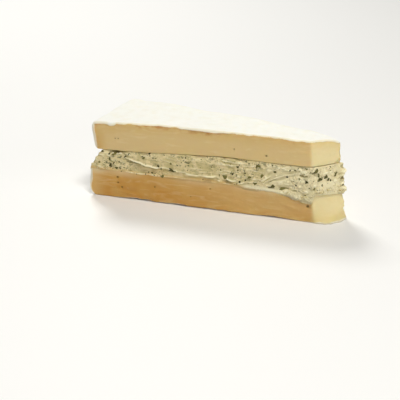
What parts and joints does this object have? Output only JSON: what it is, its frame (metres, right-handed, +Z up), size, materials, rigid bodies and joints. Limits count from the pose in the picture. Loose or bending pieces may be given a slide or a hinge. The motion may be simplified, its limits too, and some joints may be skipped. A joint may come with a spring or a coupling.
{
  "type": "cheese wedge",
  "caption": "Wedge of soft white-rind cheese split through the middle and filled with a band of herbed fresh cheese, its nose cut off at a slant.",
  "frame": {"origin": "centre of the wedge's footprint box, on the flat underside that rests on the board", "axes": "+X along the wedge from its rim to its nose, +Y away from the near cut face, +Z up through the layers"},
  "size_m": [0.1456, 0.0484, 0.0454],
  "materials": {
    "soft_cheese": "satin",
    "herbed_filling": "matte",
    "herbs": "matte"
  },
  "bodies": {
    "root": {"upper_cheese": "soft_cheese", "herb_filling": "herbed_filling", "lower_cheese": "soft_cheese"}
  },
  "joints": []
}
